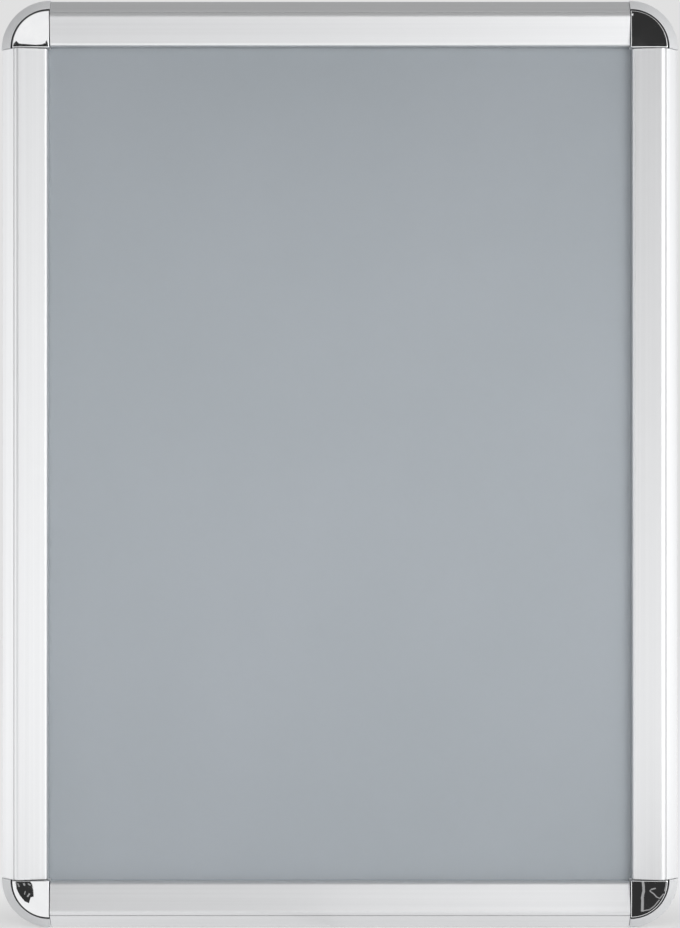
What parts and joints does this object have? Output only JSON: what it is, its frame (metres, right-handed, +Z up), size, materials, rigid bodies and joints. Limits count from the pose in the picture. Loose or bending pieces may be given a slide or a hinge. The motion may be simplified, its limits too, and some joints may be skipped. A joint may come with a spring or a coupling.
{
  "type": "snap frame",
  "caption": "Wall-mounted poster frame with rounded corners, whose bevelled aluminium sides have hinged, spring-loaded flaps that clamp a sheet under a clear cover.",
  "frame": {"origin": "centre of the back, in the wall plane", "axes": "+X to the right seen from the front, +Y into the wall, +Z up along the long sides; the front faces -Y"},
  "size_m": [0.4714, 0.0146, 0.6454],
  "materials": {
    "aluminium": "satin anodised, with fine lines along the extrusion",
    "silver_plastic": "satin silver",
    "chrome": "mirror chrome plate",
    "spring_steel": "bare spring steel",
    "zinc_steel": "zinc plated",
    "grey_panel": "matt grey",
    "clear_sheet": "clear, matt anti-glare"
  },
  "bodies": {
    "frame": {"bottom_base_rail": "aluminium", "left_base_rail": "aluminium", "top_base_rail": "aluminium", "right_base_rail": "aluminium", "bottom_spring_1": "spring_steel", "bottom_spring_2": "spring_steel", "left_spring_1": "spring_steel", "left_spring_2": "spring_steel", "left_spring_3": "spring_steel", "top_spring_1": "spring_steel", "top_spring_2": "spring_steel", "right_spring_1": "spring_steel", "right_spring_2": "spring_steel", "right_spring_3": "spring_steel", "bottom_left_corner_body": "silver_plastic", "top_left_corner_body": "silver_plastic", "top_right_corner_body": "silver_plastic", "bottom_right_corner_body": "silver_plastic", "bottom_left_corner_cap": "chrome", "top_left_corner_cap": "chrome", "top_right_corner_cap": "chrome", "bottom_right_corner_cap": "chrome", "bottom_left_screw_1": "zinc_steel", "bottom_left_screw_2": "zinc_steel", "top_left_screw_1": "zinc_steel", "top_left_screw_2": "zinc_steel", "top_right_screw_1": "zinc_steel", "top_right_screw_2": "zinc_steel", "bottom_right_screw_1": "zinc_steel", "bottom_right_screw_2": "zinc_steel", "back_panel": "grey_panel", "cover_sheet": "clear_sheet"},
    "bottom_flap": {"bottom_flap": "aluminium"},
    "left_flap": {"left_flap": "aluminium"},
    "top_flap": {"top_flap": "aluminium"},
    "right_flap": {"right_flap": "aluminium"}
  },
  "joints": [
    {"name": "bottom_flap_hinge", "type": "hinge", "parent": "frame", "child": "bottom_flap", "pos_m": [0, -0.01045, -0.3097], "axis": [1, 0, 0], "range_deg": [0, 90], "deforming": ["bottom_spring_1", "bottom_spring_2"]},
    {"name": "left_flap_hinge", "type": "hinge", "parent": "frame", "child": "left_flap", "pos_m": [-0.2227, -0.01045, 0], "axis": [0, 0, -1], "range_deg": [0, 90], "deforming": ["left_spring_1", "left_spring_2", "left_spring_3"]},
    {"name": "top_flap_hinge", "type": "hinge", "parent": "frame", "child": "top_flap", "pos_m": [0, -0.01045, 0.3097], "axis": [-1, 0, 0], "range_deg": [0, 90], "deforming": ["top_spring_1", "top_spring_2"]},
    {"name": "right_flap_hinge", "type": "hinge", "parent": "frame", "child": "right_flap", "pos_m": [0.2227, -0.01045, 0], "axis": [0, 0, 1], "range_deg": [0, 90], "deforming": ["right_spring_1", "right_spring_2", "right_spring_3"]}
  ]
}
